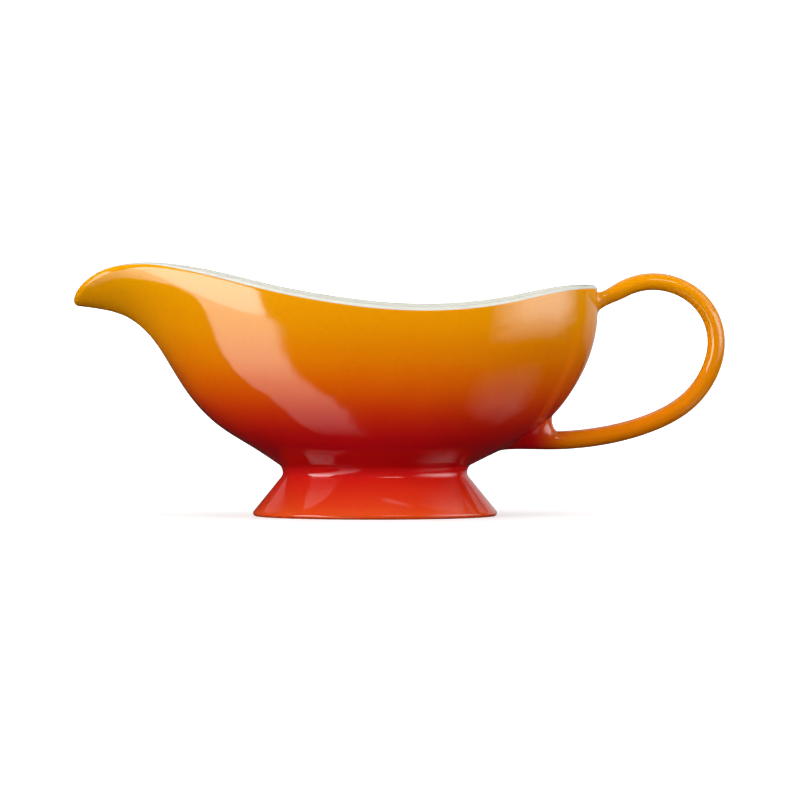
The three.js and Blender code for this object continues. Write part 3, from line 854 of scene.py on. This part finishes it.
sheet_material, sheet_tree = light_material("diffuser light")
kept_light = node(sheet_tree, "ShaderNodeAttribute", {"attribute_name": "light"})
sheet_glow = node(sheet_tree, "ShaderNodeEmission", None, Strength=kept_light.outputs["Fac"])
node(sheet_tree, "ShaderNodeOutputMaterial", None, Surface=sheet_glow.outputs[0])

# Seen by the glaze and lighting the colour: (height angle, left bearing, right bearing, light).
light_sheet("diffuser_left", [
    (-4.5, -67, -33, 8), (3, -66, -34, 8.5), (10, -63, -37, 8.5), (22, -64, -42, 8.5),
])
light_sheet("sheen_left", [
    (-4.5, -69, -33, 4.6), (-11, -64, -26, 4.0), (-18, -52, -22, 2.6), (-26, -39, -17, 1.9),
    (-34, -36, -14, 1.5), (-46, -35, -14, 1.0), (-60, -34, -15, 0.0),
], 0.08)
light_sheet("diffuser_right", [
    (-13, 34, 104, 0.2), (-5, 34, 104, 2.6), (1, 34, 104, 5.0), (24, 30, 104, 5.5),
], 0.35)
light_sheet("sheen_right", [
    (-22, 34, 96, 0.0), (-30, 30, 92, 0.45), (-42, 36, 108, 0.7), (-54, 44, 104, 0.0),
], 0.3)

# Seen by the glaze alone.
for name, rows in [
    ("strip_front_high", [(30, 2, 26, 6.0), (42, 2, 26, 6.0)]),
    ("sheen_right_high", [(26, 50, 104, 1.5), (58, 50, 104, 1.5)]),
    ("sheen_above_rear", [(25, 104, 256, 0.3), (34, 104, 256, 0.8), (56, 104, 256, 0.8),
                          (78, 104, 256, 0.5)]),
    ("sheen_rear", [(-12, 112, 176, 0.2), (0, 112, 176, 0.7), (24, 112, 176, 0.8)]),
]:
    light_sheet(name, rows, 0.2).visible_diffuse = False

# Lighting the colour alone.
for name, rows in [
    ("fill_front", [(2, -31, 14, 3.4), (24, -31, 14, 3.4)]),
    ("fill_left", [(23, -78, -26, 3.4), (44, -78, -26, 3.4)]),
]:
    light_sheet(name, rows, 0.2).visible_glossy = False
overhead = panel(
    "diffuser_top", [(-0.7, -0.7, 1.5), (0.7, -0.7, 1.5), (0.7, 0.5, 1.5), (-0.7, 0.5, 1.5)],
    glow("light top", 2.9, 0.3, 0.3),
)
overhead.visible_glossy = False


# %% [markdown]
# ## The table and the white surround
# The camera sees a white table, a white wall and a white dome, and the glaze sees none of
# them. A grey sheet just under the table is what throws a little light back up on the boat.

# %% Table, wall and dome
TABLE_HALF = 5
DOME_RADIUS, DOME_LIGHT = 5.0, 1.05


def table(name, height, colour, own_light):
    """Flat sheet out of the glaze's reflections, whose own light grows away from the boat."""
    material, tree, shader = new_material(name)
    shader.inputs["Base Color"].default_value = (colour, colour, colour, 1)
    shader.inputs["Roughness"].default_value = 0.6
    shader.inputs["Emission Color"].default_value = (1, 1, 1, 1)
    place = node(tree, "ShaderNodeTexCoord").outputs["Object"]
    away = node(tree, "ShaderNodeVectorMath", {"operation": "LENGTH"}, i0=place)
    own = node(tree, "ShaderNodeMapRange",
               {"From Min": 0.15, "From Max": 0.9, "To Min": own_light, "To Max": 2 * own_light},
               Value=away.outputs["Value"])
    tree.links.new(own.outputs["Result"], shader.inputs["Emission Strength"])
    material.cycles.emission_sampling = "NONE"
    made = new_object(name, bpy.data.meshes.new(name))
    corners = [(TABLE_HALF * x, TABLE_HALF * y, height) for x, y in
               [(-1, -1), (1, -1), (1, 1), (-1, 1)]]
    made.data.from_pydata(corners, [], [(0, 1, 2, 3)])
    made.data.materials.append(material)
    made.visible_glossy = False
    return made


table("white table", 0, 0.8, 0.45).visible_diffuse = False
table("grey under-table", -0.0005, 0.12, 0).visible_camera = False
wall = panel("wall", [(-4, 3, -1), (4, 3, -1), (4, 3, 4), (-4, 3, 4)],
             glow("white wall", 1.8, 0.01, 0.01))
wall.visible_camera = True
wall.visible_glossy = False

bearing, height = np.meshgrid(
    np.linspace(0, 2 * np.pi, 65), np.linspace(-0.3, np.pi / 2, 17), indexing="ij",
)
dome_points = DOME_RADIUS * np.stack([
    np.cos(bearing) * np.cos(height), np.sin(bearing) * np.cos(height), np.sin(height),
], -1)
dome = new_object("studio_dome", bpy.data.meshes.new("studio_dome"))
dome.data.from_pydata(dome_points.reshape(-1, 3).tolist(), [], grid_faces(*bearing.shape))
dome_material, dome_tree = light_material("white studio")
dome_light = node(dome_tree, "ShaderNodeEmission", {"Strength": DOME_LIGHT})
node(dome_tree, "ShaderNodeOutputMaterial", None, Surface=dome_light.outputs[0])
dome_material.cycles.emission_sampling = "NONE"
dome.data.materials.append(dome_material)
dome.visible_glossy = dome.visible_diffuse = dome.visible_shadow = False

world = bpy.data.worlds.new("studio")
bpy.context.scene.world = world
world.use_nodes = True
world.node_tree.nodes["Background"].inputs["Color"].default_value = (0.02, 0.02, 0.02, 1)
